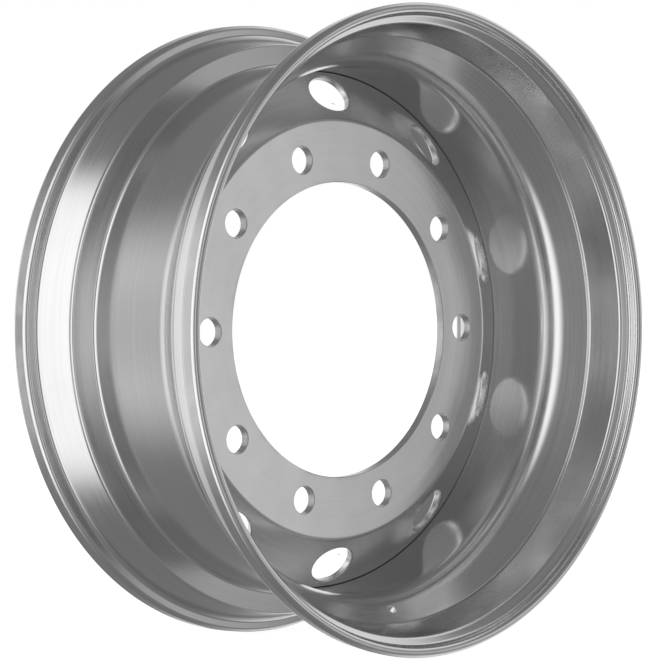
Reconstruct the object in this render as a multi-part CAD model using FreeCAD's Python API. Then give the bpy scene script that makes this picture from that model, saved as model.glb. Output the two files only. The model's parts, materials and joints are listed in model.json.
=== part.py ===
import FreeCAD, Part
import math
import os

from FreeCAD import Vector

# Tubeless steel truck wheel: a rolled drop-centre rim, a pressed disc and the weld between them.
# Millimetres. The wheel turns about Y, with its outer side towards -Y and the rim's mid plane at Y = 0.
# Sections are drawn in the XY plane, X being the radius and Y the place along the axle, and then revolved.

# Rim: what the tyre needs
seat_diameter = 571.5          # bead seat at the flange, the nominal rim diameter
rim_width = 209.55             # between the flanges at the bead heels
seat_angle = 15.0              # taper of the bead seats
flange_height = 12.7           # flange above the bead heel
flange_lean = 8.0              # lean of the flange wall, tyre side, away from the tyre
flange_back_angle = 57.0       # flange wall against the axle, outer side
lip_reach = 20.0               # from the bead heel out to the end of the lip
sheet = 6.0                    # rim sheet in the seats and the well
lip_thickness = 10.0           # rim sheet in the rolled lip
lip_flare = 1.0                # rise of the lip from the flange to its end
heel_radius = 4.5              # bead heel, tyre side
crown_radius = 5.0             # top of the flange, tyre side
lip_root_radius = 5.0          # hollow behind the lip
flange_bend_radius = 6.0       # bend from the seat into the flange, inner side
lip_edge_radius = 4.9          # both edges of the lip's end

# Rim: the well
well_diameter = 508.0          # well floor, tyre side
outer_seat_width = 29.0        # bead seat on the outer side, from its heel inwards
outer_slope_angle = 38.0       # valve slope against the axle
outer_well_radius = 40.0       # long bend from the well floor into the valve slope, tyre side
inner_seat_width = 34.8        # bead seat on the inner side, from its heel inwards
inner_wall_angle = 80.0        # the well's inner wall against the axle
land_width = 4.0               # level land at the end of each seat
land_angle = 1.0               # rise of the land towards the seat
seat_end_radius = 3.0          # bends at both ends of the lands, each on the inside of its bend
inner_well_radius = 3.5        # bend at the foot of the well's inner wall, tyre side

# Valve hole, square to the valve slope and at the wheel's lowest point
valve_hole_diameter = 9.7
valve_hole_place = 56.0        # its centre on the slope, from the mid plane

# Disc
bore_diameter = 281.0
bolt_circle = 335.0
bolt_count = 10
bolt_hole_diameter = 26.0
mount_face_place = 3.5         # outer mounting face, inboard of the mid plane
mount_face_diameter = 399.0    # where the flat face bends into the slope
disc_thickness = 10.5          # flat centre
skirt_thickness = 6.0
disc_slope_angle = 31.0        # slope against the flat face
face_bend_radius = 9.0         # bend at the edge of the flat face, outer side
skirt_bend_radius = 8.0        # bend from the slope into the skirt, outer side
skirt_length = 15.4183         # along the axle, from the corner of slope and skirt to the skirt's end
skirt_clearance = 0.1          # between the skirt and the well, on the radius
front_break = 0.6              # broken edge of the bore and stud holes, outer side
rear_break = 2.0               # chamfer of the bore and stud holes, hub side

# Hand holes, square to the disc's slope
hand_hole_count = 10
hand_hole_inner_margin = 11.5  # along the slope, from the edge of the flat face
hand_hole_outer_margin = 6.5   # along the slope, from the skirt
hand_hole_ratio = 1.29         # width round the wheel against height along the slope
hand_hole_edge = 1.5           # coined edge on both sides

# Weld at the end of the skirt
weld_leg = 5.0
weld_crown = 0.6               # bulge of the weld's face
weld_gap = 0.05                # between the weld and the well, on the radius

# Making
tool_overrun = 8.0             # how far drills and punches run past both faces
side_share = 0.49              # most of a side that one rounding may take

AXIS_POINT = Vector(0, 0, 0)
AXLE = Vector(0, 1, 0)


def tan_deg(angle):
    return math.tan(math.radians(angle))


def line_cross(point_a, angle_a, point_b, angle_b):
    """Where two lines meet, each given by a point (radius, place) and its angle against the axle."""
    rise_a, rise_b = tan_deg(angle_a), tan_deg(angle_b)
    place = (point_b[0] - point_a[0] + rise_a * point_a[1] - rise_b * point_b[1]) / (rise_a - rise_b)
    return (point_a[0] + rise_a * (place - point_a[1]), place)


def offset_line(point, angle, distance):
    """A point (radius, place) moved square to a line at an angle against the axle, towards the axle."""
    return (
        point[0] - distance * math.cos(math.radians(angle)),
        point[1] + distance * math.sin(math.radians(angle)),
    )


def rounded_face(corners):
    """Closed face from (radius, place, rounding) corners, each rounding limited by its two sides."""
    count = len(corners)
    points = [Vector(corner[0], corner[1], 0) for corner in corners]
    starts, middles, ends = [], [], []
    for index, corner in enumerate(corners):
        here = points[index]
        back = points[index - 1] - here
        ahead = points[(index + 1) % count] - here
        half = back.getAngle(ahead) / 2
        room = side_share * min(back.Length, ahead.Length)
        reach = min(corner[2] / math.tan(half), room)
        back.normalize()
        ahead.normalize()
        radius = reach * math.tan(half)
        to_centre = back + ahead
        starts.append(here + back * reach)
        ends.append(here + ahead * reach)
        if radius > 0:
            to_centre.normalize()
            middles.append(here + to_centre * (radius / math.sin(half) - radius))
        else:
            middles.append(here)
    edges = []
    for index in range(count):
        if corners[index][2] > 0:
            edges.append(Part.Arc(starts[index], middles[index], ends[index]).toShape())
        edges.append(Part.makeLine(ends[index], starts[(index + 1) % count]))
    return Part.Face(Part.Wire(edges))


def revolved(face):
    return face.revolve(AXIS_POINT, AXLE, 360)


def around_axle(shape, count, first_angle):
    """Copies of a shape spaced evenly round the axle."""
    copies = []
    for index in range(count):
        copy = shape.copy()
        copy.rotate(AXIS_POINT, AXLE, first_angle + index * 360.0 / count)
        copies.append(copy)
    return Part.makeCompound(copies)


# Rim section. Both halves are drawn with the distance from the mid plane as their place, and the outer
# half is then turned to the -Y side.
seat_radius = seat_diameter / 2
heel_place = rim_width / 2
heel = (seat_radius, heel_place)
well_outer = well_diameter / 2
well_inner = well_outer - sheet
crown = seat_radius + flange_height
wall_angle = 90.0 - flange_lean


def flange_corners():
    """Tyre side and inner side of one flange, from the seat out to the lip's end."""
    lip_end = heel_place + lip_reach
    lip_inner = crown - lip_thickness
    wall_top = line_cross(heel, wall_angle, (crown - lip_flare, 0), 0)
    behind_wall = offset_line(heel, flange_back_angle, sheet)
    below_seat = offset_line(heel, seat_angle, sheet)
    bend = line_cross(below_seat, seat_angle, behind_wall, flange_back_angle)
    root = line_cross((lip_inner, 0), 0, behind_wall, flange_back_angle)
    tyre_side = [heel + (heel_radius,), wall_top + (crown_radius,), (crown, lip_end, lip_edge_radius)]
    inner_side = [
        bend + (flange_bend_radius,),
        root + (lip_root_radius,),
        (lip_inner, lip_end, lip_edge_radius),
    ]
    return tyre_side, inner_side


def both_faces(lines, roundings):
    """Corners of a bent sheet, from its lines (point, angle): the tyre side and the inner side.

    Each rounding is on the inside of its bend, and the outside gets the sheet added. Going out from the
    well, a bend that turns away from the axle is hollow on the tyre side, and the others are proud there.
    """
    tyre_side, inner_side = [], []
    for first, second, rounding in zip(lines, lines[1:], roundings):
        tyre = line_cross(first[0], first[1], second[0], second[1])
        inner = line_cross(
            offset_line(first[0], first[1], sheet), first[1],
            offset_line(second[0], second[1], sheet), second[1],
        )
        hollow = second[1] > first[1]
        tyre_side.append(tyre + (rounding if hollow else rounding + sheet,))
        inner_side.append(inner + (rounding + sheet if hollow else rounding,))
    return tyre_side, inner_side


seat_rise = tan_deg(seat_angle)
floor_line = ((well_outer, 0.0), 0.0)
seat_line = (heel, seat_angle)


def land_line(seat_width):
    """Line of the land at the end of a seat, and the point where the land ends."""
    seat_end = (seat_radius - seat_width * seat_rise, heel_place - seat_width)
    land_end = (seat_end[0] - land_width * tan_deg(land_angle), seat_end[1] - land_width)
    return (seat_end, land_angle), land_end


# Outer half: well floor, valve slope, land, seat
outer_land_line, outer_land_end = land_line(outer_seat_width)
outer_slope_line = (outer_land_end, outer_slope_angle)
outer_lines = [floor_line, outer_slope_line, outer_land_line, seat_line]
outer_bends = [outer_well_radius, seat_end_radius, seat_end_radius]
outer_tyre, outer_inner = both_faces(outer_lines, outer_bends)

# Inner half: well floor, steep wall, land, seat
inner_land_line, inner_land_end = land_line(inner_seat_width)
inner_wall_line = (inner_land_end, inner_wall_angle)
inner_lines = [floor_line, inner_wall_line, inner_land_line, seat_line]
inner_bends = [inner_well_radius, seat_end_radius, seat_end_radius]
inner_tyre, inner_inner = both_faces(inner_lines, inner_bends)

flange_tyre, flange_inner = flange_corners()


def turned_out(corners):
    """Corners of the outer half, on the -Y side."""
    return [(radius, -place, rounding) for radius, place, rounding in corners]


rim_corners = (
    turned_out(outer_inner + flange_inner)
    + turned_out((outer_tyre + flange_tyre)[::-1])
    + inner_tyre
    + flange_tyre
    + (inner_inner + flange_inner)[::-1]
)
rim = revolved(rounded_face(rim_corners))

valve_radius = outer_land_end[0] - (outer_land_end[1] - valve_hole_place) * tan_deg(outer_slope_angle)
valve_tilt = math.radians(outer_slope_angle)
valve_outward = Vector(0, math.sin(valve_tilt), -math.cos(valve_tilt))
valve_start = Vector(0, -valve_hole_place, -valve_radius) + valve_outward * tool_overrun
valve_drill = Part.makeCylinder(
    valve_hole_diameter / 2, sheet + 2 * tool_overrun, valve_start, -valve_outward
)
rim = rim.cut(valve_drill)

# Disc section
bore_radius = bore_diameter / 2
skirt_outer = well_inner - skirt_clearance
skirt_inner = skirt_outer - skirt_thickness
rear_face_place = mount_face_place + disc_thickness
face_edge = mount_face_diameter / 2
slope_run = skirt_outer - face_edge
skirt_corner_place = mount_face_place + slope_run * tan_deg(disc_slope_angle)
skirt_end_place = skirt_corner_place + skirt_length
half_slope = tan_deg(disc_slope_angle / 2)
rear_edge = face_edge - disc_thickness * half_slope
slope_length = slope_run / math.cos(math.radians(disc_slope_angle))
hand_hole_height = slope_length - hand_hole_inner_margin - hand_hole_outer_margin
hand_hole_width = hand_hole_ratio * hand_hole_height
rear_corner_place = skirt_corner_place + skirt_thickness * tan_deg((90.0 - disc_slope_angle) / 2)
disc_corners = [
    (bore_radius, mount_face_place + front_break, 0),
    (bore_radius + front_break, mount_face_place, 0),
    (face_edge, mount_face_place, face_bend_radius),
    (skirt_outer, skirt_corner_place, skirt_bend_radius),
    (skirt_outer, skirt_end_place, 0),
    (skirt_inner, skirt_end_place, 0),
    (skirt_inner, rear_corner_place, skirt_bend_radius - skirt_thickness),
    (rear_edge, rear_face_place, face_bend_radius + disc_thickness),
    (bore_radius + rear_break, rear_face_place, 0),
    (bore_radius, rear_face_place - rear_break, 0),
]
disc = revolved(rounded_face(disc_corners))


def stud_hole_tool():
    """Drill for one stud hole with both its broken edges, on the +X side."""
    hole_radius = bolt_hole_diameter / 2
    place = bolt_circle / 2
    drill_start = Vector(place, mount_face_place - tool_overrun, 0)
    drill = Part.makeCylinder(hole_radius, disc_thickness + 2 * tool_overrun, drill_start, AXLE)
    front = Part.makeCone(
        hole_radius + front_break, hole_radius, front_break, Vector(place, mount_face_place, 0), AXLE
    )
    rear = Part.makeCone(
        hole_radius, hole_radius + rear_break, rear_break,
        Vector(place, rear_face_place - rear_break, 0), AXLE,
    )
    return drill.fuse([front, rear])


def hand_hole_tool():
    """Oval punch for one hand hole, square to the slope, on the +X side."""
    slope = math.radians(disc_slope_angle)
    normal = Vector(-math.sin(slope), math.cos(slope), 0)
    along = Vector(math.cos(slope), math.sin(slope), 0)
    across = Vector(0, 0, 1)
    up_slope = hand_hole_inner_margin + hand_hole_height / 2
    centre = Vector(face_edge, mount_face_place, 0) + along * up_slope - normal * tool_overrun
    long_half, short_half = hand_hole_width / 2, hand_hole_height / 2
    oval = Part.Ellipse(centre + across * long_half, centre + along * short_half, centre)
    return Part.Face(Part.Wire([oval.toShape()])).extrude(normal * (disc_thickness + 2 * tool_overrun))


hand_step = 360.0 / hand_hole_count
stud_tools = around_axle(stud_hole_tool(), bolt_count, 0.0)
hand_tools = around_axle(hand_hole_tool(), hand_hole_count, hand_step / 2)
disc = disc.cut(hand_tools)


def is_hand_hole_edge(edge):
    """Only the edges of the hand holes don't go round the axle, so their middles lie off it."""
    middle = edge.CenterOfMass
    return math.hypot(middle.x, middle.z) > bore_radius and edge.Length < math.pi * hand_hole_width


disc = disc.makeFillet(hand_hole_edge, [edge for edge in disc.Edges if is_hand_hole_edge(edge)])
disc = disc.cut(stud_tools)

# Weld section: a fillet against the skirt's end and the well, with a slightly proud face
weld_outer = well_inner - weld_gap
weld_top = Vector(weld_outer, skirt_end_place + weld_leg, 0)
weld_foot = Vector(weld_outer - weld_leg, skirt_end_place, 0)
weld_corner = Vector(weld_outer, skirt_end_place, 0)
weld_middle = (weld_top + weld_foot) / 2
weld_out = (weld_middle - weld_corner).normalize()
weld_face = Part.Arc(weld_top, weld_middle + weld_out * weld_crown, weld_foot).toShape()
weld_sides = [Part.makeLine(weld_foot, weld_corner), Part.makeLine(weld_corner, weld_top)]
weld = revolved(Part.Face(Part.Wire([weld_face] + weld_sides)))

os.makedirs("parts", exist_ok=True)
for name, shape in (("rim", rim), ("wheel_disc", disc), ("disc_weld", weld)):
    solid = shape.Solids[0]
    solid.exportStep(f"parts/{name}.step")
    print(name, len(shape.Solids), solid.isValid(), round(solid.Volume / 1000, 1), "cm3")
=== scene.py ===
import json
import math

import bmesh
import bpy
from mathutils import Matrix, Vector


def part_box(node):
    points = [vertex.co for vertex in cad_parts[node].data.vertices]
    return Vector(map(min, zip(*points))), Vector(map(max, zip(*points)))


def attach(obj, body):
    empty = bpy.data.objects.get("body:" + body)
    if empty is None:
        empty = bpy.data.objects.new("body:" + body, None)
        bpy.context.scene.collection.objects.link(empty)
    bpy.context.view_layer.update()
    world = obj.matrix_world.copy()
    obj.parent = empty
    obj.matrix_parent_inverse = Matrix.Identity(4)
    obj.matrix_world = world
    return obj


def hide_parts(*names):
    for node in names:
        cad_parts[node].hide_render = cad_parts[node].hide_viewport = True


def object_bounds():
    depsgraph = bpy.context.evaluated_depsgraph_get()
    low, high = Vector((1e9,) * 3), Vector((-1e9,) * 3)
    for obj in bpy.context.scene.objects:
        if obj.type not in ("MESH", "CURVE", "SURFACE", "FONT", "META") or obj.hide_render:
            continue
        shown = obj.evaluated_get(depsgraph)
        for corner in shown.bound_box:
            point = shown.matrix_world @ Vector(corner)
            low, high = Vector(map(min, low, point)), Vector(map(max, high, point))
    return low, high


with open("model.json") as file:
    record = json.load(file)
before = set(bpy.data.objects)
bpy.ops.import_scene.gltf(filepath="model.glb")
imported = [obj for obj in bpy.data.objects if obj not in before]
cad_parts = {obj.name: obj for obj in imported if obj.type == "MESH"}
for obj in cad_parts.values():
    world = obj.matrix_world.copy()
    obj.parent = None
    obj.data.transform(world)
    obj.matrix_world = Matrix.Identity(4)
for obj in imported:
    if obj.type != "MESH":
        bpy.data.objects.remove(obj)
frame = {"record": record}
CAD_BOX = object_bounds()

bl_info = {
    "name": "Truck Wheel",
    "version": (1, 0, 0),
    "blender": (4, 5, 0),
    "location": "3D View > Sidebar > Wheel",
    "description": "Models the rim, the disc and the weld of a tubeless truck wheel around its frame",
    "category": "Add Mesh",
}

# The wheel turns about Y, with its outer side towards -Y. Sections are drawn in the XY plane, X being the
# radius and Y the place along the axle, and then spun about the axle. Everything is in metres.
MOUNTS = {mount["name"]: mount for mount in frame["record"]["mounts"]}
AXLE = Vector((0.0, 1.0, 0.0))
CENTRE = Vector((0.0, 0.0, 0.0))
FULL_TURN = 2 * math.pi
MERGE = 1e-6                      # points nearer than this are one point
SIDE_SHARE = 0.49                 # most of a side that one rounding may take
BEND_STEP = math.radians(7)       # turn of a bend from one point to the next
RING_STEPS = 360                  # steps of a spin round the axle
SHARP_ANGLE = math.radians(34)    # edges sharper than this stay crisp
FLAT_WEIGHT = 50                  # how far large faces win over small ones in the shading
SLOPE_CORNERS = (2, 6, 7)         # disc's corners: edge of the face, outer and inner end of the rear slope
VALVE_SIDES = 48                  # sides of the valve drill
STUD_SIDES = 64                   # sides of a stud drill
HAND_SIDES = 96                   # sides of a hand-hole punch
COIN_STEPS = 4                    # steps across a coined edge
BEAD_STEPS = 8                    # steps across the weld's face
RIPPLE_STEPS = 4                  # steps along one ripple of the weld
RIPPLE_LAG = 1.3                  # radians by which a ripple lags at the edges of the weld's face
ON_FACE = 0.999                   # share of the way out from which a point lies on the weld's face
VALVE_OVERRUN = 0.008             # how far the valve drill runs past both faces
PUNCH_OVERRUN = 0.004             # how far the other punches run past both faces
SENSOR_WIDTH = 36.0               # camera's sensor in millimetres
VIEW_END = 200.0                  # how far the camera sees
FLOOR_CELLS = 8                   # squares along a side of the floor
FLOOR_TONE = 0.8                  # the floor's grey, and the light it adds towards the camera
WHITE = (1.0, 1.0, 1.0, 1.0)

# Finish of the steel. Noises are (waves per metre, detail), bumps are (strength, height), and spans are the
# parts of a noise that are used.
RIM_GRAIN = 420.0                 # waves per metre across the lines of the rim's grain
DISC_GRAIN = 380.0                # the same for the disc
GRAIN_AROUND = 5.0                # waves per metre along the lines
GRAIN_DETAIL = 1.0
GRAIN_ROUGHNESS = 0.62
GRAIN_BUMP = (0.006, 0.0002)
GRAIN_IN_TONE = 0.45              # share of the grain in the tone, beside the patches
PATCHES = (7.0, 3.0)              # wide patches of tone
HANDLING = (38.0, 5.0)            # smaller marks of handling
HANDLING_IN_GLOSS = 0.6           # share of the handling in the gloss, beside the grain
GLOSS_SWING = 0.03                # how far the roughness goes up and down
RUBBED_TONE = 0.5                 # how far a rubbed edge goes to the dull tone
RUBBED_BLUR = 0.09                # roughness that a rubbed edge adds
BORE_WEAR = 0.004                 # width of the rubbed ring round the bore
DRAG_LINES = (900.0, 2.0)         # drag lines on the walls of holes
DRAG_STRETCH = (1.0, 0.12, 1.0)   # they run along the axle
DRAG_BUMP = (0.12, 0.0002)
WALL_PATCHES = (120.0, 3.0)
WALL_ROUGHNESS = (0.2, 0.32)
WELD_SCALE = (260.0, 4.0)         # fine scale on the weld
WELD_PATCHES = (45.0, 3.0)
WELD_SCALE_IN_TONE = 0.5          # share of the scale in the weld's tone, beside its patches
WELD_BUMP = (0.2, 0.0004)
WELD_ROUGHNESS = (0.26, 0.46)
MIXED_SPAN = (0.32, 0.68)         # of two noises mixed
NOISE_SPAN = (0.3, 0.7)           # of one noise
RUBBED_SPAN = (0.42, 0.66)        # of the handling, where it rubs an edge

# Soft boxes round the stage, each as (azimuth from the outer side, half width, softness, the heights where
# it begins and ends to fade, tone). Angles are in degrees, heights are sines of the angle above the level,
# and the studio is the same below the level as above it.
SOFT_BOXES = (
    (165.0, 51.0, 14.0, 0.22, 0.58, 0.95),    # low pale wall behind
    (-96.0, 32.0, 7.0, 0.62, 1.00, 1.25),     # tall soft box on the left
    (92.0, 28.0, 12.0, 0.70, 0.95, 0.85),     # tall soft box on the right
    (39.0, 7.0, 2.5, 0.15, 0.50, 0.72),       # dimmer one at the front right
    (-24.0, 7.0, 3.0, 0.45, 0.90, 0.80),      # narrow one beside the camera
)


def mount_size(name, key):
    """A mount's size from the record, in metres."""
    return MOUNTS[name]["dims"][key] / 1000


def length(name, description, default):
    """A length in metres."""
    return bpy.props.FloatProperty(
        name=name, description=description, default=default, unit="LENGTH", subtype="DISTANCE", precision=4
    )


def angle(name, description, degrees):
    """An angle, given in degrees."""
    return bpy.props.FloatProperty(
        name=name, description=description, default=math.radians(degrees), subtype="ANGLE"
    )


def share(name, description, default):
    """A share from 0 to 1."""
    return bpy.props.FloatProperty(
        name=name, description=description, default=default, min=0.0, max=1.0, subtype="FACTOR"
    )


def colour(name, description, default):
    """A colour."""
    return bpy.props.FloatVectorProperty(
        name=name, description=description, default=default, size=3, min=0.0, max=1.0, subtype="COLOR"
    )


class RimSizes(bpy.types.PropertyGroup):
    """Sizes of the rolled rim."""

    seat_radius: length("Seat Radius", "Bead seats at the heels", mount_size("outer_bead_seat", "r_mm"))
    heel_place: length("Heel Place", "Bead heels from the mid plane", MOUNTS["inner_bead_seat"]["pos_m"][1])
    seat_angle: angle("Seat Angle", "Taper of the bead seats", 15.0)
    flange_height: length("Flange Height", "Flange above the bead heel", 0.0127)
    flange_lean: angle("Flange Lean", "Lean of the flange wall on the tyre side, away from the tyre", 8.0)
    flange_back_angle: angle("Flange Back", "Flange wall against the axle on the outer side", 57.0)
    lip_reach: length("Lip Reach", "From the bead heel to the end of the lip", 0.020)
    sheet: length("Sheet", "Thickness of the seats and the well", 0.006)
    lip_thickness: length("Lip Thickness", "Thickness of the rolled lip", 0.010)
    lip_flare: length("Lip Flare", "Rise of the lip from the flange to its end", 0.001)
    heel_radius: length("Heel Radius", "Bead heel on the tyre side", 0.0045)
    crown_radius: length("Crown Radius", "Top of the flange on the tyre side", 0.005)
    lip_root_radius: length("Lip Root Radius", "Hollow behind the lip", 0.005)
    flange_bend_radius: length("Flange Bend Radius", "Bend from the seat into the flange", 0.006)
    lip_edge_radius: length("Lip Edge Radius", "Both edges of the lip's end", 0.0049)
    well_radius: length("Well Radius", "Well floor on the tyre side", 0.254)
    outer_seat_width: length(
        "Outer Seat", "Width of the outer seat", mount_size("outer_bead_seat", "length_mm")
    )
    outer_slope_angle: angle("Valve Slope", "Valve slope against the axle", 38.0)
    outer_well_bend: length("Outer Well Bend", "Bend from the well into the valve slope, tyre side", 0.040)
    inner_seat_width: length(
        "Inner Seat", "Width of the inner seat", mount_size("inner_bead_seat", "length_mm")
    )
    inner_wall_angle: angle("Inner Wall", "The well's inner wall against the axle", 80.0)
    land_width: length("Land Width", "Level land at the end of each seat", 0.004)
    land_angle: angle("Land Angle", "Rise of the land towards the seat", 1.0)
    seat_end_bend: length("Seat End Bend", "Inside of the bends at both ends of the lands", 0.003)
    inner_well_bend: length("Inner Well Bend", "Bend at the foot of the well's inner wall, tyre side", 0.0035)


class DiscSizes(bpy.types.PropertyGroup):
    """Sizes of the pressed disc."""

    bore_radius: length("Bore Radius", "Centre bore", mount_size("centre_bore", "r_mm"))
    front_place: length("Front Face", "Outer mounting face along the axle", MOUNTS["nut_face"]["pos_m"][1])
    rear_place: length("Rear Face", "Hub face along the axle", MOUNTS["hub_face"]["pos_m"][1])
    face_radius: length("Face Radius", "Where the flat face bends into the slope", 0.1995)
    skirt_radius: length("Skirt Radius", "Outside of the skirt", 0.2479)
    skirt_thickness: length("Skirt Thickness", "Thickness at the skirt", 0.006)
    skirt_end: length("Skirt End", "End of the skirt along the axle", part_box("wheel_disc")[1].y)
    slope_angle: angle("Slope Angle", "Slope against the flat face", 31.0)
    face_bend: length("Face Bend", "Bend at the edge of the flat face, outer side", 0.009)
    skirt_bend: length("Skirt Bend", "Bend from the slope into the skirt, outer side", 0.003)
    skirt_rear_bend: length("Skirt Rear Bend", "Bend from the slope into the skirt, hub side", 0.002)
    front_break: length("Front Break", "Broken edges of the bore and stud holes, outer side", 0.0006)
    rear_break: length("Rear Break", "Chamfers of the bore and stud holes, hub side", 0.002)
    stud_circle: length("Stud Circle", "Radius of the stud circle", mount_size("stud_holes", "pcd_mm") / 2)
    stud_hole: length("Stud Hole", "Radius of a stud hole", mount_size("stud_holes", "hole_r_mm"))
    stud_count: bpy.props.IntProperty(
        name="Studs", description="Number of stud holes", default=MOUNTS["stud_holes"]["dims"]["count"], min=1
    )
    hand_inner_margin: length("Inner Margin", "Hand hole from the flat face's edge, along the slope", 0.0115)
    hand_outer_margin: length("Outer Margin", "Hand hole from the skirt, along the slope", 0.0065)
    hand_ratio: bpy.props.FloatProperty(
        name="Hand Hole Ratio", description="Width round the wheel against height on the slope", default=1.29
    )
    hand_edge: length("Hand Hole Edge", "Coined edge on both sides", 0.0015)
    hand_count: bpy.props.IntProperty(
        name="Hand Holes", description="Number of hand holes", default=10, min=1
    )


class WeldSizes(bpy.types.PropertyGroup):
    """Sizes of the weld bead at the end of the skirt."""

    radius: length("Radius", "Outside of the bead, against the well", 0.24795)
    leg: length("Leg", "Leg of the fillet", 0.005)
    crown: length("Crown", "Bulge of the bead's face", 0.0006)
    ripple: length("Ripple", "Height of the ripples", 0.00022)
    ripples: bpy.props.IntProperty(name="Ripples", description="Ripples round the wheel", default=430, min=12)


class SteelFinish(bpy.types.PropertyGroup):
    """Colours and gloss of the steel."""

    rim_light: colour("Rim Light", "Bright tone of the rolled rim", (0.80, 0.80, 0.80))
    rim_dark: colour("Rim Dark", "Dull tone of the rolled rim", (0.72, 0.72, 0.725))
    disc_light: colour("Disc Light", "Bright tone of the pressed disc", (0.79, 0.79, 0.79))
    disc_dark: colour("Disc Dark", "Dull tone of the pressed disc", (0.71, 0.71, 0.715))
    cut_light: colour("Cut Light", "Bright tone of punched and drilled walls", (0.84, 0.84, 0.84))
    cut_dark: colour("Cut Dark", "Dull tone of punched and drilled walls", (0.66, 0.66, 0.66))
    weld_light: colour("Weld Light", "Bright tone of the weld bead", (0.70, 0.70, 0.70))
    weld_dark: colour("Weld Dark", "Dull tone of the weld bead", (0.45, 0.45, 0.46))
    rim_roughness: share("Rim Roughness", "Blur of reflections in the rim", 0.17)
    disc_roughness: share("Disc Roughness", "Blur of reflections in the disc", 0.20)


class StageSizes(bpy.types.PropertyGroup):
    """Floor, light and camera."""

    floor_size: length("Floor Size", "Side of the floor", 60.0)
    wall_tone: bpy.props.FloatProperty(
        name="Wall Tone", description="Studio walls in reflections", default=0.25
    )
    ceiling_tone: bpy.props.FloatProperty(
        name="Ceiling Tone", description="Studio ceiling in reflections", default=0.19
    )
    wall_height: share("Wall Height", "Sine of the height where the walls begin to fade", 0.30)
    ceiling_height: share("Ceiling Height", "Sine of the height where the ceiling begins", 0.88)
    camera_azimuth: angle("Camera Azimuth", "Camera round the wheel from its outer side", -44.21)
    camera_elevation: angle("Camera Elevation", "Camera above the axle", 0.78)
    camera_roll: angle("Camera Roll", "Tilt of the camera about its own line of sight", -0.35)
    camera_distance: length("Camera Distance", "From the point looked at", 2.185)
    camera_target: length("Camera Target", "Point looked at along the axle", 0.0218)
    camera_lens: bpy.props.FloatProperty(
        name="Lens", description="Focal length in millimetres on a 36 mm sensor", default=124.5, unit="CAMERA"
    )


def line_cross(point_a, angle_a, point_b, angle_b):
    """Where two lines meet, each given by a point (radius, place) and its angle against the axle."""
    rise_a, rise_b = math.tan(angle_a), math.tan(angle_b)
    place = (point_b[0] - point_a[0] + rise_a * point_a[1] - rise_b * point_b[1]) / (rise_a - rise_b)
    return (point_a[0] + rise_a * (place - point_a[1]), place)


def offset_line(point, slant, distance):
    """A point (radius, place) moved square to a line at an angle against the axle, towards the axle."""
    return (point[0] - distance * math.cos(slant), point[1] + distance * math.sin(slant))


def sheet_corners(lines, roundings, sheet):
    """Corners of a bent sheet from its lines (point, angle): its tyre side and its inner side."""
    tyre_side, inner_side = [], []
    for (point_a, angle_a), (point_b, angle_b), rounding in zip(lines, lines[1:], roundings):
        tyre = line_cross(point_a, angle_a, point_b, angle_b)
        inner = line_cross(
            offset_line(point_a, angle_a, sheet), angle_a, offset_line(point_b, angle_b, sheet), angle_b
        )
        hollow = angle_b > angle_a
        tyre_side.append(tyre + (rounding if hollow else rounding + sheet,))
        inner_side.append(inner + (rounding + sheet if hollow else rounding,))
    return tyre_side, inner_side


def flange_corners(rim):
    """Tyre side and inner side of one flange, from the seat out to the end of the lip."""
    heel = (rim.seat_radius, rim.heel_place)
    crown = rim.seat_radius + rim.flange_height
    wall = math.pi / 2 - rim.flange_lean
    lip_end = rim.heel_place + rim.lip_reach
    lip_inner = crown - rim.lip_thickness
    wall_top = line_cross(heel, wall, (crown - rim.lip_flare, 0.0), 0.0)
    behind_wall = offset_line(heel, rim.flange_back_angle, rim.sheet)
    below_seat = offset_line(heel, rim.seat_angle, rim.sheet)
    bend = line_cross(below_seat, rim.seat_angle, behind_wall, rim.flange_back_angle)
    root = line_cross((lip_inner, 0.0), 0.0, behind_wall, rim.flange_back_angle)
    tyre_side = [
        heel + (rim.heel_radius,),
        wall_top + (rim.crown_radius,),
        (crown, lip_end, rim.lip_edge_radius),
    ]
    inner_side = [
        bend + (rim.flange_bend_radius,),
        root + (rim.lip_root_radius,),
        (lip_inner, lip_end, rim.lip_edge_radius),
    ]
    return tyre_side, inner_side


def land_ends(rim, seat_width):
    """Both ends of the land that follows a seat, as points (radius, place)."""
    rise = math.tan(rim.seat_angle)
    seat_end = (rim.seat_radius - seat_width * rise, rim.heel_place - seat_width)
    land_end = (seat_end[0] - rim.land_width * math.tan(rim.land_angle), seat_end[1] - rim.land_width)
    return seat_end, land_end


def turned_out(corners):
    """Corners of the outer half, on the -Y side."""
    return [(radius, -place, rounding) for radius, place, rounding in corners]


def rim_corners(rim):
    """Corners (radius, place, rounding) all round the rim's section."""
    floor_line = ((rim.well_radius, 0.0), 0.0)
    seat_line = ((rim.seat_radius, rim.heel_place), rim.seat_angle)

    seat_end, land_end = land_ends(rim, rim.outer_seat_width)
    outer_lines = [floor_line, (land_end, rim.outer_slope_angle), (seat_end, rim.land_angle), seat_line]
    outer_bends = [rim.outer_well_bend, rim.seat_end_bend, rim.seat_end_bend]
    outer_tyre, outer_inner = sheet_corners(outer_lines, outer_bends, rim.sheet)

    seat_end, land_end = land_ends(rim, rim.inner_seat_width)
    inner_lines = [floor_line, (land_end, rim.inner_wall_angle), (seat_end, rim.land_angle), seat_line]
    inner_bends = [rim.inner_well_bend, rim.seat_end_bend, rim.seat_end_bend]
    inner_tyre, inner_inner = sheet_corners(inner_lines, inner_bends, rim.sheet)

    flange_tyre, flange_inner = flange_corners(rim)
    return (
        turned_out(outer_inner + flange_inner)
        + turned_out((outer_tyre + flange_tyre)[::-1])
        + inner_tyre
        + flange_tyre
        + (inner_inner + flange_inner)[::-1]
    )


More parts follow.
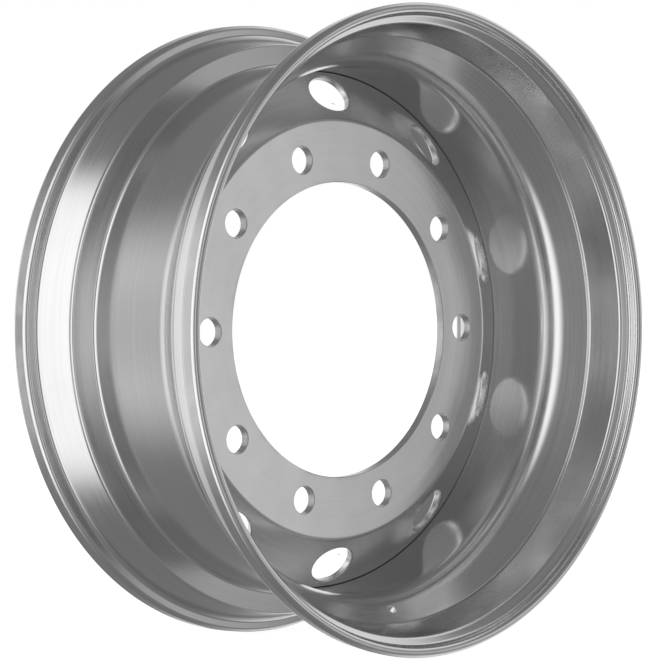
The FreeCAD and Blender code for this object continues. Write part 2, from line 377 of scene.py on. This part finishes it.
def disc_corners(disc):
    """Corners (radius, place, rounding) all round the disc's section."""
    thickness = disc.rear_place - disc.front_place
    skirt_inner = disc.skirt_radius - disc.skirt_thickness
    slope_run = disc.skirt_radius - disc.face_radius
    corner_place = disc.front_place + slope_run * math.tan(disc.slope_angle)
    rear_edge = disc.face_radius - thickness * math.tan(disc.slope_angle / 2)
    rear_corner = corner_place + disc.skirt_thickness * math.tan(math.pi / 4 - disc.slope_angle / 2)
    return [
        (disc.bore_radius, disc.front_place + disc.front_break, 0.0),
        (disc.bore_radius + disc.front_break, disc.front_place, 0.0),
        (disc.face_radius, disc.front_place, disc.face_bend),
        (disc.skirt_radius, corner_place, disc.skirt_bend),
        (disc.skirt_radius, disc.skirt_end, 0.0),
        (skirt_inner, disc.skirt_end, 0.0),
        (skirt_inner, rear_corner, disc.skirt_rear_bend),
        (rear_edge, disc.rear_place, disc.face_bend + thickness),
        (disc.bore_radius + disc.rear_break, disc.rear_place, 0.0),
        (disc.bore_radius, disc.rear_place - disc.rear_break, 0.0),
    ]


def spin_point(bm, point, centre, side, turn, steps):
    """Spins a point into an arc in the XY plane, and gives the arc's last point."""
    spun = bmesh.ops.spin(bm, geom=[point], cent=centre, axis=(0, 0, side), angle=turn, steps=steps)
    return [part for part in spun["geom_last"] if isinstance(part, bmesh.types.BMVert)][0]


def draw_outline(bm, corners):
    """Draws a closed outline in the XY plane: straight runs, and rounded corners spun about their centres."""
    count = len(corners)
    points = [Vector((radius, place, 0.0)) for radius, place, _ in corners]
    first = last = None
    for index, (_, _, rounding) in enumerate(corners):
        here = points[index]
        back = points[index - 1] - here
        ahead = points[(index + 1) % count] - here
        half = back.angle(ahead) / 2
        reach = min(rounding / math.tan(half), SIDE_SHARE * min(back.length, ahead.length))
        turn = math.pi - 2 * half
        back.normalize()
        ahead.normalize()
        point = bm.verts.new(here + back * reach)
        if last:
            bm.edges.new((last, point))
        first = first or point
        last = point
        if reach > 0:
            centre = here + (back + ahead).normalized() * (reach / math.cos(half))
            side = math.copysign(1.0, ahead.cross(back).z)
            last = spin_point(bm, point, centre, side, turn, max(2, math.ceil(turn / BEND_STEP)))
    bm.edges.new((last, first))


def spin_round(bm, steps):
    """Spins everything in the mesh once round the axle and closes the ring."""
    bmesh.ops.spin(
        bm, geom=bm.verts[:] + bm.edges[:], cent=CENTRE, axis=AXLE,
        angle=FULL_TURN, steps=steps, use_merge=True,
    )
    bmesh.ops.remove_doubles(bm, verts=bm.verts[:], dist=MERGE)
    bmesh.ops.recalc_face_normals(bm, faces=bm.faces[:])


def new_piece(name, bm, *materials):
    """A mesh object from a bmesh, at the origin."""
    mesh = bpy.data.meshes.new(name)
    bm.to_mesh(mesh)
    bm.free()
    for material in materials:
        mesh.materials.append(material)
    piece = bpy.data.objects.new(name, mesh)
    bpy.context.scene.collection.objects.link(piece)
    return piece


def smooth_steel(piece):
    """Smooth shading that keeps flats flat and sharp edges crisp."""
    piece.data.shade_smooth()
    piece.data.set_sharp_from_angle(angle=SHARP_ANGLE)
    weighted = piece.modifiers.new("Flat Faces", "WEIGHTED_NORMAL")
    weighted.mode = "FACE_AREA"
    weighted.weight = FLAT_WEIGHT
    weighted.keep_sharp = True


def draw_punch(rings, segments):
    """Closed punch along Z, from rings (half width, half height, depth)."""
    bm = bmesh.new()
    loops = []
    for half_width, half_height, depth in rings:
        shape = Matrix.Translation((0, 0, depth)) @ Matrix.Diagonal((half_width, half_height, 1, 1))
        ring = bmesh.ops.create_circle(bm, cap_ends=False, segments=segments, radius=1.0, matrix=shape)
        loops.append(ring["verts"])
    edges = [list(dict.fromkeys(edge for vert in loop for edge in vert.link_edges)) for loop in loops]
    for near, far in zip(edges, edges[1:]):
        bmesh.ops.bridge_loops(bm, edges=near + far)
    for end in (edges[0], edges[-1]):
        bmesh.ops.contextual_create(bm, geom=end)
    return bm


def set_round(bm, place, first_angle, count):
    """Puts a punch in its place on the +X side, turns it and repeats it round the axle."""
    turned = Matrix.Rotation(first_angle, 4, AXLE) @ place
    bmesh.ops.transform(bm, matrix=turned, verts=bm.verts[:])
    if count > 1:
        bmesh.ops.spin(
            bm, geom=bm.verts[:] + bm.edges[:] + bm.faces[:], cent=CENTRE, axis=AXLE,
            angle=FULL_TURN * (count - 1) / count, steps=count - 1, use_duplicate=True,
        )
    bmesh.ops.recalc_face_normals(bm, faces=bm.faces[:])


def punch_out(piece, punch):
    """Cuts a punch out of a piece. The new walls keep the punch's material."""
    cut = piece.modifiers.new("Punch", "BOOLEAN")
    cut.operation = "DIFFERENCE"
    cut.solver = "EXACT"
    cut.material_mode = "TRANSFER"
    cut.object = punch
    whole = piece.data
    evaluated = piece.evaluated_get(bpy.context.evaluated_depsgraph_get())
    piece.data = bpy.data.meshes.new_from_object(evaluated)
    piece.data.name = piece.name
    piece.modifiers.clear()
    bpy.data.meshes.remove(whole)
    bpy.data.meshes.remove(punch.data)


def axes_matrix(x_axis, y_axis, z_axis, origin):
    """Matrix that puts a punch's own axes and origin on the wheel."""
    matrix = Matrix((x_axis, y_axis, z_axis)).transposed().to_4x4()
    matrix.translation = origin
    return matrix


def coined_rings(half_width, half_height, thickness, edge, overrun, steps):
    """Rings of a punch whose edges are rounded on both faces, as (half width, half height, depth)."""
    turns = [math.pi / 2 * step / steps for step in range(1, steps + 1)]
    profile = [(edge * (1 - math.sin(turn)), edge * (1 - math.cos(turn))) for turn in turns]
    flare = (edge + overrun, -overrun * (1 - math.cos(turns[0])) / math.sin(turns[0]))
    front = [flare] + profile
    rear = [(widen, thickness - depth) for widen, depth in reversed(front)]
    return [(half_width + widen, half_height + widen, depth) for widen, depth in front + rear]


def add_node(tree, kind, inputs=(), **settings):
    """A shader node with its settings. An input takes a value, or a socket to link from."""
    node = tree.nodes.new(kind)
    for name, value in settings.items():
        setattr(node, name, value)
    for name, value in dict(inputs).items():
        if isinstance(value, bpy.types.NodeSocket):
            tree.links.new(value, node.inputs[name])
        else:
            node.inputs[name].default_value = value
    return node


def maths(tree, operation, *values):
    """Output of a math node on values or sockets."""
    return add_node(tree, "ShaderNodeMath", enumerate(values), operation=operation).outputs[0]


def new_material(name):
    """A material with an empty node tree."""
    material = bpy.data.materials.new(name)
    material.use_nodes = True
    material.node_tree.nodes.clear()
    return material


def wheel_point(tree):
    """Socket for the point on the wheel."""
    return add_node(tree, "ShaderNodeTexCoord").outputs["Object"]


def round_axle(tree, point):
    """Sockets for a point's way from the axle, its radius and its place along the axle."""
    parts = add_node(tree, "ShaderNodeSeparateXYZ", {0: point})
    flat = add_node(tree, "ShaderNodeCombineXYZ", {0: parts.outputs[0], 1: 0.0, 2: parts.outputs[2]})
    radius = add_node(tree, "ShaderNodeVectorMath", {0: flat.outputs[0]}, operation="LENGTH").outputs["Value"]
    return flat.outputs[0], radius, parts.outputs[1]


def rolled_grain(tree, flat, radius, place, fineness):
    """Fine lines that run round the wheel and slowly come and go, as rolling and spinning leave them."""
    around = add_node(tree, "ShaderNodeVectorMath", {0: flat, 3: GRAIN_AROUND}, operation="SCALE").outputs[0]
    across = add_node(
        tree, "ShaderNodeCombineXYZ", {0: 0.0, 1: maths(tree, "MULTIPLY", radius, fineness), 2: 0.0}
    ).outputs[0]
    vector = add_node(tree, "ShaderNodeVectorMath", {0: around, 1: across}, operation="ADD").outputs[0]
    grain = add_node(
        tree, "ShaderNodeTexNoise",
        {"Vector": vector, "W": maths(tree, "MULTIPLY", place, fineness), "Scale": 1.0,
         "Detail": GRAIN_DETAIL, "Roughness": GRAIN_ROUGHNESS},
        noise_dimensions="4D",
    )
    return grain.outputs[0]


def cloud(tree, point, scale, detail):
    """Soft uneven patches."""
    node = add_node(tree, "ShaderNodeTexNoise", {"Vector": point, "Scale": scale, "Detail": detail})
    return node.outputs[0]


def mix_noises(tree, share_of_first, first, second):
    """Two noises mixed by the share of the first."""
    rest = maths(tree, "MULTIPLY", second, 1.0 - share_of_first)
    return maths(tree, "ADD", maths(tree, "MULTIPLY", first, share_of_first), rest)


def ranged(tree, value, low, high, from_low, from_high):
    """A value carried from one range to another and held inside it."""
    node = add_node(
        tree, "ShaderNodeMapRange",
        {"Value": value, "From Min": from_low, "From Max": from_high, "To Min": low, "To Max": high},
    )
    return node.outputs[0]


def blend_colours(tree, factor, first, second):
    """From the first colour at 0 to the second at 1."""
    return add_node(tree, "ShaderNodeMix", {0: factor, 6: first, 7: second}, data_type="RGBA").outputs[2]


def noise_tone(tree, noise, span, dark, light):
    """From the dull tone to the bright one over a span of a noise."""
    factor = ranged(tree, noise, 0.0, 1.0, *span)
    return blend_colours(tree, factor, (*dark, 1.0), (*light, 1.0))


def soft_step(tree, value, low, high):
    """Rises smoothly from 0 at low to 1 at high."""
    node = add_node(
        tree, "ShaderNodeMapRange", {"Value": value, "From Min": low, "From Max": high},
        interpolation_type="SMOOTHSTEP",
    )
    return node.outputs[0]


def blend_values(tree, factor, first, second):
    """From the first value at 0 to the second at 1."""
    return add_node(tree, "ShaderNodeMix", {0: factor, 2: first, 3: second}).outputs[0]


def seen_directly(tree):
    """1 where the camera looks at something, and 0 in reflections and for light."""
    path = add_node(tree, "ShaderNodeLightPath")
    return maths(tree, "MAXIMUM", path.outputs["Is Camera Ray"], path.outputs["Is Transmission Ray"])


def finish_steel(tree, tone, roughness, height, bump):
    """Metal shader from its tone, its roughness and the noise that its bump follows."""
    strength, distance = bump
    bumps = add_node(tree, "ShaderNodeBump", {"Strength": strength, "Distance": distance, "Height": height})
    shader = add_node(
        tree, "ShaderNodeBsdfPrincipled",
        {"Base Color": tone, "Metallic": 1.0, "Roughness": roughness, "Normal": bumps.outputs[0]},
    )
    add_node(tree, "ShaderNodeOutputMaterial", {"Surface": shader.outputs[0]})


def rolled_steel(name, dark, light, roughness, fineness, worn_from, worn_to):
    """Bright sheet steel: fine lines round the wheel, soft patches of tone and gloss, and an edge that
    handling has rubbed, from one radius to the other."""
    material = new_material(name)
    tree = material.node_tree
    point = wheel_point(tree)
    flat, radius, place = round_axle(tree, point)
    grain = rolled_grain(tree, flat, radius, place, fineness)
    patches = cloud(tree, point, *PATCHES)
    handling = cloud(tree, point, *HANDLING)
    edge = soft_step(tree, radius, worn_from, worn_to)
    rubbed = maths(tree, "MULTIPLY", edge, soft_step(tree, handling, *RUBBED_SPAN))

    clean_tone = noise_tone(tree, mix_noises(tree, GRAIN_IN_TONE, grain, patches), MIXED_SPAN, dark, light)
    dulled = maths(tree, "MULTIPLY", rubbed, RUBBED_TONE)
    tone = blend_colours(tree, dulled, clean_tone, (*dark, 1.0))

    gloss = mix_noises(tree, HANDLING_IN_GLOSS, handling, grain)
    clean_blur = ranged(tree, gloss, roughness - GLOSS_SWING, roughness + GLOSS_SWING, *NOISE_SPAN)
    blur = maths(tree, "ADD", clean_blur, maths(tree, "MULTIPLY", rubbed, RUBBED_BLUR))
    finish_steel(tree, tone, blur, grain, GRAIN_BUMP)
    return material


def cut_steel(name, dark, light):
    """Punched and drilled walls: drag lines along the hole and a brighter, coarser tone."""
    material = new_material(name)
    tree = material.node_tree
    point = wheel_point(tree)
    drag = add_node(tree, "ShaderNodeMapping", {"Vector": point, "Scale": DRAG_STRETCH}).outputs[0]
    lines = cloud(tree, drag, *DRAG_LINES)
    tone = noise_tone(tree, lines, NOISE_SPAN, dark, light)
    blur = ranged(tree, cloud(tree, point, *WALL_PATCHES), *WALL_ROUGHNESS, *NOISE_SPAN)
    finish_steel(tree, tone, blur, lines, DRAG_BUMP)
    return material


def weld_steel(name, dark, light):
    """Weld bead: dull and uneven, with fine scale on it."""
    material = new_material(name)
    tree = material.node_tree
    point = wheel_point(tree)
    scale = cloud(tree, point, *WELD_SCALE)
    mixed = mix_noises(tree, WELD_SCALE_IN_TONE, scale, cloud(tree, point, *WELD_PATCHES))
    tone = noise_tone(tree, mixed, MIXED_SPAN, dark, light)
    blur = ranged(tree, scale, *WELD_ROUGHNESS, *NOISE_SPAN)
    finish_steel(tree, tone, blur, scale, WELD_BUMP)
    return material


def seat_piece(piece, node):
    """The piece rides on the wheel and stands for its CAD node, which it hides."""
    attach(piece, "root")
    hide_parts(node)


class WHEEL_OT_rim(bpy.types.Operator):
    """Spin the rolled rim and drill its valve hole"""

    bl_idname = "wheel.rim"
    bl_label = "Rim"

    def execute(self, context):
        rim = context.scene.wheel_rim
        finish = context.scene.wheel_finish
        bm = bmesh.new()
        draw_outline(bm, rim_corners(rim))
        spin_round(bm, RING_STEPS)
        crown = rim.seat_radius + rim.flange_height
        steel = rolled_steel(
            "rim_steel", finish.rim_dark, finish.rim_light, finish.rim_roughness, RIM_GRAIN,
            crown - rim.lip_thickness, crown,
        )
        bare = cut_steel("valve_hole_steel", finish.cut_dark, finish.cut_light)
        piece = new_piece("rolled_rim", bm, steel)

        valve = MOUNTS["valve_hole"]
        radius = mount_size("valve_hole", "r_mm")
        half = mount_size("valve_hole", "length_mm") / 2 + VALVE_OVERRUN
        drill = draw_punch([(radius, radius, -half), (radius, radius, half)], VALVE_SIDES)
        axis = Vector(valve["axis"]).normalized()
        across = Vector((1.0, 0.0, 0.0))
        place = axes_matrix(across, axis.cross(across), axis, Vector(valve["pos_m"]))
        set_round(drill, place, 0.0, 1)
        punch_out(piece, new_piece("valve_drill", drill, bare))
        smooth_steel(piece)
        seat_piece(piece, "rim")
        return {"FINISHED"}


class WHEEL_OT_disc(bpy.types.Operator):
    """Spin the pressed disc and punch its stud holes and hand holes"""

    bl_idname = "wheel.disc"
    bl_label = "Disc"

    def execute(self, context):
        disc = context.scene.wheel_disc
        finish = context.scene.wheel_finish
        bm = bmesh.new()
        draw_outline(bm, disc_corners(disc))
        spin_round(bm, RING_STEPS)
        steel = rolled_steel(
            "disc_steel", finish.disc_dark, finish.disc_light, finish.disc_roughness, DISC_GRAIN,
            disc.bore_radius + BORE_WEAR, disc.bore_radius,
        )
        bare = cut_steel("hole_wall_steel", finish.cut_dark, finish.cut_light)
        piece = new_piece("pressed_disc", bm, steel)
        punch_out(piece, new_piece("stud_drills", self.stud_drills(disc), bare))
        punch_out(piece, new_piece("hand_punches", self.hand_punches(disc), bare))
        smooth_steel(piece)
        seat_piece(piece, "wheel_disc")
        return {"FINISHED"}

    def stud_drills(self, disc):
        """Drills with both chamfers, on the stud circle."""
        thickness = disc.rear_place - disc.front_place
        radii = [
            (disc.stud_hole + disc.front_break + PUNCH_OVERRUN, -PUNCH_OVERRUN),
            (disc.stud_hole, disc.front_break),
            (disc.stud_hole, thickness - disc.rear_break),
            (disc.stud_hole + disc.rear_break + PUNCH_OVERRUN, thickness + PUNCH_OVERRUN),
        ]
        drill = draw_punch([(radius, radius, depth) for radius, depth in radii], STUD_SIDES)
        origin = Vector((disc.stud_circle, disc.front_place, 0.0))
        place = axes_matrix(Vector((0, 0, 1)), Vector((1, 0, 0)), AXLE, origin)
        set_round(drill, place, 0.0, disc.stud_count)
        return drill

    def hand_punches(self, disc):
        """Oval punches square to the slope, bent to its roundness so that the coined edges stay even."""
        corners = disc_corners(disc)
        front, rear_high, rear_low = (corners[index] for index in SLOPE_CORNERS)
        slope = disc.slope_angle
        along = Vector((math.cos(slope), math.sin(slope), 0.0))
        inward = Vector((-math.sin(slope), math.cos(slope), 0.0))
        slope_length = (disc.skirt_radius - disc.face_radius) / math.cos(slope)
        half_height = (slope_length - disc.hand_inner_margin - disc.hand_outer_margin) / 2
        origin = Vector((front[0], front[1], 0.0)) + along * (disc.hand_inner_margin + half_height)
        rear_slope = math.atan2(rear_high[1] - rear_low[1], rear_high[0] - rear_low[0])
        foot = Vector((rear_low[0], rear_low[1], 0.0)) - origin
        rear_normal = Vector((-math.sin(rear_slope), math.cos(rear_slope), 0.0))
        thickness = foot.dot(rear_normal) / inward.dot(rear_normal)
        taper = math.tan(slope - rear_slope)
        rings = coined_rings(
            half_height * disc.hand_ratio, half_height, thickness, disc.hand_edge, PUNCH_OVERRUN, COIN_STEPS
        )
        punch = draw_punch(rings, HAND_SIDES)
        for vert in punch.verts:
            here = origin.x + vert.co.y * math.cos(slope)
            if vert.co.z > thickness / 2:
                vert.co.z -= vert.co.y * taper
            vert.co.z += math.sin(slope) * vert.co.x ** 2 / (2 * here)
        place = axes_matrix(Vector((0, 0, 1)), along, inward, origin)
        set_round(punch, place, math.pi / disc.hand_count, disc.hand_count)
        return punch


class WHEEL_OT_weld(bpy.types.Operator):
    """Lay the weld bead round the end of the skirt"""

    bl_idname = "wheel.weld"
    bl_label = "Weld"

    def execute(self, context):
        weld = context.scene.wheel_weld
        finish = context.scene.wheel_finish
        foot_place = context.scene.wheel_disc.skirt_end
        corner = Vector((weld.radius, foot_place, 0.0))
        top = corner + Vector((0.0, weld.leg, 0.0))
        foot = corner - Vector((weld.leg, 0.0, 0.0))
        outward = Vector((-1.0, 1.0, 0.0)).normalized()
        half = (top - foot).length / 2
        radius = (half ** 2 + weld.crown ** 2) / (2 * weld.crown)
        centre = (top + foot) / 2 - outward * (radius - weld.crown)
        turn = 2 * math.asin(half / radius)

        bm = bmesh.new()
        toe = bm.verts.new(top)
        heel = spin_point(bm, toe, centre, 1, turn, BEAD_STEPS)
        inside = bm.verts.new(corner)
        bm.edges.new((heel, inside))
        bm.edges.new((inside, toe))
        spin_round(bm, weld.ripples * RIPPLE_STEPS)
        for vert in bm.verts:
            across = Vector((math.hypot(vert.co.x, vert.co.z), vert.co.y, 0.0)) - centre
            tilt = across.angle(outward) / (turn / 2)
            if across.length > radius * ON_FACE and tilt < ON_FACE:
                turned = math.atan2(vert.co.z, vert.co.x) * weld.ripples + RIPPLE_LAG * tilt ** 2
                lift = weld.ripple * (1 - tilt ** 2) * (math.cos(turned) - 1.0) / 2
                radial = Vector((vert.co.x, 0.0, vert.co.z)).normalized()
                vert.co += (radial * across.normalized().x + AXLE * across.normalized().y) * lift
        steel = weld_steel("weld_steel", finish.weld_dark, finish.weld_light)
        piece = new_piece("weld_bead", bm, steel)
        smooth_steel(piece)
        seat_piece(piece, "disc_weld")
        return {"FINISHED"}


class WHEEL_OT_stage(bpy.types.Operator):
    """Set up the floor, the soft light and the camera"""

    bl_idname = "wheel.stage"
    bl_label = "Stage"

    def execute(self, context):
        stage = context.scene.wheel_stage
        context.scene.view_settings.view_transform = "Standard"
        self.lay_floor(stage)
        self.light_studio(context.scene, stage)
        self.set_camera(context.scene, stage)
        return {"FINISHED"}

    def lay_floor(self, stage):
        """Pale floor under the wheel. Metal doesn't show it."""
        bm = bmesh.new()
        bmesh.ops.create_grid(
            bm, x_segments=FLOOR_CELLS, y_segments=FLOOR_CELLS, size=stage.floor_size / 2,
            matrix=Matrix.Translation((0.0, 0.0, CAD_BOX[0].z)),
        )
        material = new_material("pale_floor")
        tree = material.node_tree
        grey = (FLOOR_TONE, FLOOR_TONE, FLOOR_TONE, 1.0)
        matte = add_node(tree, "ShaderNodeBsdfDiffuse", {"Color": grey})
        white = add_node(tree, "ShaderNodeEmission", {"Color": WHITE, "Strength": FLOOR_TONE})
        lit = add_node(tree, "ShaderNodeAddShader", {0: matte.outputs[0], 1: white.outputs[0]})
        mixed = add_node(
            tree, "ShaderNodeMixShader", {0: seen_directly(tree), 1: matte.outputs[0], 2: lit.outputs[0]}
        )
        add_node(tree, "ShaderNodeOutputMaterial", {"Surface": mixed.outputs[0]})
        floor = new_piece("floor", bm, material)
        floor.visible_glossy = False

    def light_studio(self, scene, stage):
        """World: plain white to the camera. Metal shows a grey room with its soft boxes."""
        world = bpy.data.worlds.new("studio")
        scene.world = world
        world.use_nodes = True
        tree = world.node_tree
        tree.nodes.clear()
        direction = add_node(tree, "ShaderNodeTexCoord").outputs["Generated"]
        parts = add_node(tree, "ShaderNodeSeparateXYZ", {0: direction})
        flat = add_node(tree, "ShaderNodeCombineXYZ", {0: parts.outputs[0], 1: parts.outputs[1], 2: 0.0})
        level = add_node(
            tree, "ShaderNodeVectorMath", {0: flat.outputs[0]}, operation="NORMALIZE"
        ).outputs[0]
        height = maths(tree, "ABSOLUTE", parts.outputs[2])
        overhead = soft_step(tree, height, stage.wall_height, stage.ceiling_height)
        room = blend_values(tree, overhead, stage.wall_tone, stage.ceiling_tone)
        for azimuth, half_width, softness, fade_from, fade_to, tone in SOFT_BOXES:
            turn = math.radians(azimuth)
            towards = (math.sin(turn), -math.cos(turn), 0.0)
            facing = add_node(
                tree, "ShaderNodeVectorMath", {0: level, 1: towards}, operation="DOT_PRODUCT"
            ).outputs["Value"]
            outside, inside = half_width + softness, half_width - softness
            beside = soft_step(tree, facing, math.cos(math.radians(outside)), math.cos(math.radians(inside)))
            below = soft_step(tree, height, fade_to, fade_from)
            room = blend_values(tree, maths(tree, "MULTIPLY", beside, below), room, tone)
        strength = blend_values(tree, seen_directly(tree), room, 1.0)
        backdrop = add_node(tree, "ShaderNodeBackground", {"Color": WHITE, "Strength": strength})
        add_node(tree, "ShaderNodeOutputWorld", {"Surface": backdrop.outputs[0]})

    def set_camera(self, scene, stage):
        """Camera on the outer side, turned about its line of sight by the roll."""
        data = bpy.data.cameras.new("camera")
        data.lens = stage.camera_lens
        data.sensor_width = SENSOR_WIDTH
        data.clip_end = VIEW_END
        camera = bpy.data.objects.new("camera", data)
        scene.collection.objects.link(camera)
        turn, lift = stage.camera_azimuth, stage.camera_elevation
        back = Vector((math.sin(turn) * math.cos(lift), -math.cos(turn) * math.cos(lift), math.sin(lift)))
        right = Vector((math.cos(turn), math.sin(turn), 0.0))
        upward = back.cross(right)
        roll = stage.camera_roll
        rolled_right = right * math.cos(roll) + upward * math.sin(roll)
        rolled_up = upward * math.cos(roll) - right * math.sin(roll)
        eye = Vector((0.0, stage.camera_target, 0.0)) + back * stage.camera_distance
        camera.matrix_world = axes_matrix(rolled_right, rolled_up, back, eye)
        scene.camera = camera


class WHEEL_PT_sidebar(bpy.types.Panel):
    """Sidebar panel that lists the wheel's pieces and sizes"""

    bl_idname = "WHEEL_PT_sidebar"
    bl_label = "Truck Wheel"
    bl_space_type = "VIEW_3D"
    bl_region_type = "UI"
    bl_category = "Wheel"

    def draw(self, context):
        for operator, group in (
            ("wheel.rim", context.scene.wheel_rim),
            ("wheel.disc", context.scene.wheel_disc),
            ("wheel.weld", context.scene.wheel_weld),
            ("wheel.stage", context.scene.wheel_stage),
        ):
            box = self.layout.box()
            box.operator(operator)
            for name in group.__annotations__:
                box.prop(group, name)
        finish = self.layout.box()
        for name in context.scene.wheel_finish.__annotations__:
            finish.prop(context.scene.wheel_finish, name)


GROUPS = {
    "wheel_rim": RimSizes,
    "wheel_disc": DiscSizes,
    "wheel_weld": WeldSizes,
    "wheel_finish": SteelFinish,
    "wheel_stage": StageSizes,
}
CLASSES = (WHEEL_OT_rim, WHEEL_OT_disc, WHEEL_OT_weld, WHEEL_OT_stage, WHEEL_PT_sidebar)


def register():
    for name, group in GROUPS.items():
        bpy.utils.register_class(group)
        setattr(bpy.types.Scene, name, bpy.props.PointerProperty(type=group))
    for cls in CLASSES:
        bpy.utils.register_class(cls)


def unregister():
    for cls in reversed(CLASSES):
        bpy.utils.unregister_class(cls)
    for name, group in GROUPS.items():
        delattr(bpy.types.Scene, name)
        bpy.utils.unregister_class(group)


def main():
    register()
    bpy.ops.wheel.rim()
    bpy.ops.wheel.disc()
    bpy.ops.wheel.weld()
    bpy.ops.wheel.stage()


if __name__ == "__main__":
    main()
